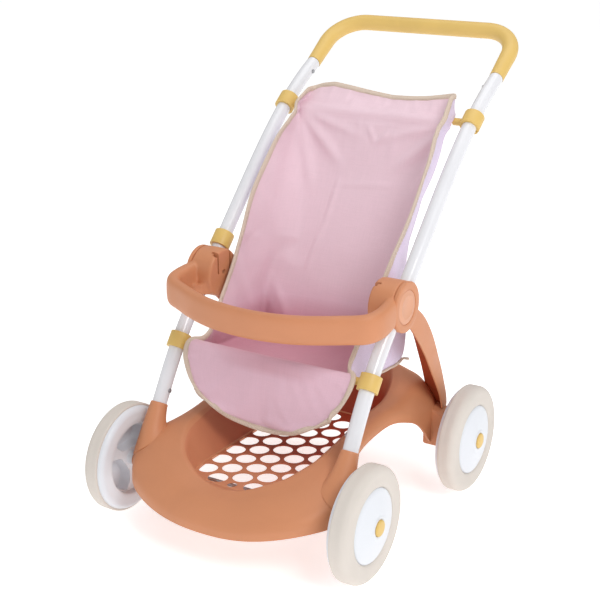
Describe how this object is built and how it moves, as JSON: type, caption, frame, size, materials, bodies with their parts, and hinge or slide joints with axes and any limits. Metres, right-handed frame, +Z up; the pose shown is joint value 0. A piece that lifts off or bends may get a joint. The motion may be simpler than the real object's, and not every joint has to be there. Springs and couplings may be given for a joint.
{
  "type": "doll stroller",
  "caption": "Toy stroller for a doll: moulded base with a basket, bent side tubes, U push handle, bumper bar, sewn sling seat on cross rods, and free-turning wheels.",
  "frame": {"origin": "on the floor, midway between the left and right wheels and midway between the nose and the rear of the handle", "axes": "+Z up and the longest extent, +Y towards the handle, +X towards the stroller's own left side and the shortest extent"},
  "size_m": [0.3718, 0.5429, 0.5554],
  "materials": {
    "clay_plastic": "satin moulded",
    "badge_plastic": "satin moulded",
    "white_tube": "gloss powder coat",
    "mustard_plastic": "satin moulded",
    "steel": "zinc plated",
    "seat_cloth": "fine woven polyester",
    "cream_tyre": "matt moulded",
    "white_rim": "satin moulded"
  },
  "bodies": {
    "frame": {"base_tray": "clay_plastic", "basket_floor": "clay_plastic", "front_left_leg": "clay_plastic", "front_right_leg": "clay_plastic", "rear_left_arm": "clay_plastic", "rear_right_arm": "clay_plastic", "bumper_bar": "clay_plastic", "left_hub_badge": "badge_plastic", "right_hub_badge": "badge_plastic", "left_frame_tube": "white_tube", "right_frame_tube": "white_tube", "handle": "mustard_plastic", "upper_left_clip": "mustard_plastic", "upper_right_clip": "mustard_plastic", "lower_left_clip": "mustard_plastic", "lower_right_clip": "mustard_plastic", "middle_right_clip": "mustard_plastic", "handle_screws": "steel", "hub_screws": "steel", "tube_foot_screws": "steel", "axle_push_washers": "steel", "front_axle": "steel", "rear_axle_stubs": "steel", "back_rod": "steel", "front_rod": "steel", "seat_fabric": "seat_cloth"},
    "front_left_wheel": {"front_left_wheel_tyre": "cream_tyre", "front_left_wheel_rim": "white_rim", "front_left_wheel_cap": "mustard_plastic"},
    "front_right_wheel": {"front_right_wheel_tyre": "cream_tyre", "front_right_wheel_rim": "white_rim", "front_right_wheel_cap": "mustard_plastic"},
    "rear_left_wheel": {"rear_left_wheel_tyre": "cream_tyre", "rear_left_wheel_rim": "white_rim", "rear_left_wheel_cap": "mustard_plastic"},
    "rear_right_wheel": {"rear_right_wheel_tyre": "cream_tyre", "rear_right_wheel_rim": "white_rim", "rear_right_wheel_cap": "mustard_plastic"}
  },
  "joints": [
    {"name": "front_left_wheel_spin", "type": "hinge", "parent": "frame", "child": "front_left_wheel", "pos_m": [0.164, -0.1934, 0.067], "axis": [1, 0, 0], "continuous": true},
    {"name": "front_right_wheel_spin", "type": "hinge", "parent": "frame", "child": "front_right_wheel", "pos_m": [-0.164, -0.1934, 0.067], "axis": [1, 0, 0], "continuous": true},
    {"name": "rear_left_wheel_spin", "type": "hinge", "parent": "frame", "child": "rear_left_wheel", "pos_m": [0.164, 0.0696, 0.067], "axis": [1, 0, 0], "continuous": true},
    {"name": "rear_right_wheel_spin", "type": "hinge", "parent": "frame", "child": "rear_right_wheel", "pos_m": [-0.164, 0.0696, 0.067], "axis": [1, 0, 0], "continuous": true}
  ]
}
